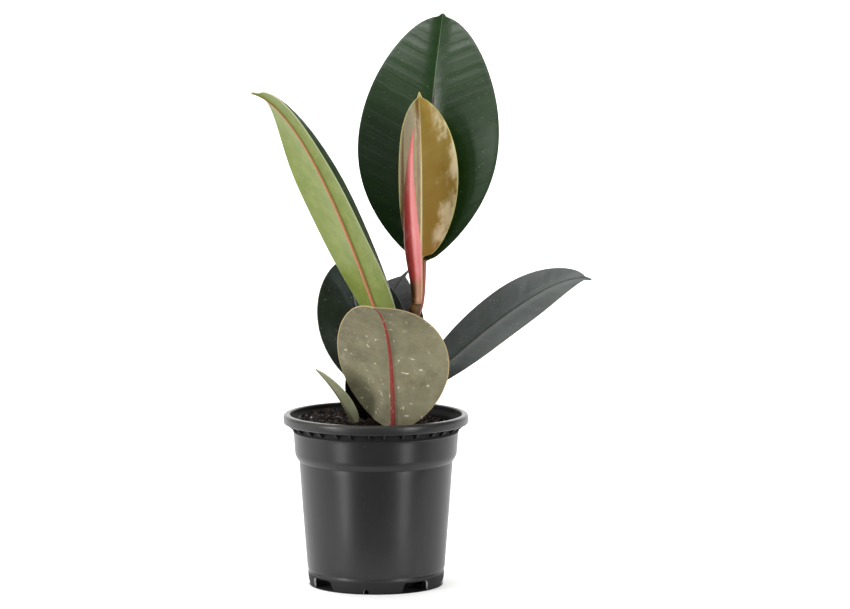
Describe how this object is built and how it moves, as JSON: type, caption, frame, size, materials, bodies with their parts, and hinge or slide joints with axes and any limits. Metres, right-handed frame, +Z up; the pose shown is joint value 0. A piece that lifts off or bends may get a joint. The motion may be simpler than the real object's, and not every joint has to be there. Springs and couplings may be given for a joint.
{
  "type": "potted rubber plant",
  "caption": "Young rubber plant with broad glossy leaves and a pink bud sheath, growing in a round tapered black nursery pot filled with soil.",
  "frame": {"origin": "on the pot's axis where it meets the ground, one millimetre under the flat middle of the pot's floor", "axes": "+Z up along the pot's axis, +X to the side of the leaf that stands out on its own, -Y to the side that the low broad leaf leans towards"},
  "size_m": [0.2186, 0.1477, 0.3682],
  "materials": {
    "black_plastic": "semi-matt moulded",
    "soil": "loose bark and peat, stands in for soil",
    "green_stem": "living stem, olive brown",
    "pink_sheath": "waxy pink bud sheath",
    "dark_leaf": "glossy leathery leaf",
    "young_leaf": "very glossy young leaf"
  },
  "bodies": {
    "root": {"pot": "black_plastic", "potting_soil": "soil", "stem": "green_stem", "bud_sheath": "pink_sheath", "leaf_tall": "dark_leaf", "leaf_young": "young_leaf", "leaf_left": "dark_leaf", "leaf_left_dark": "dark_leaf", "leaf_back": "dark_leaf", "leaf_front": "dark_leaf", "leaf_right": "dark_leaf", "leaf_small": "dark_leaf", "leaf_low": "dark_leaf"}
  },
  "joints": []
}
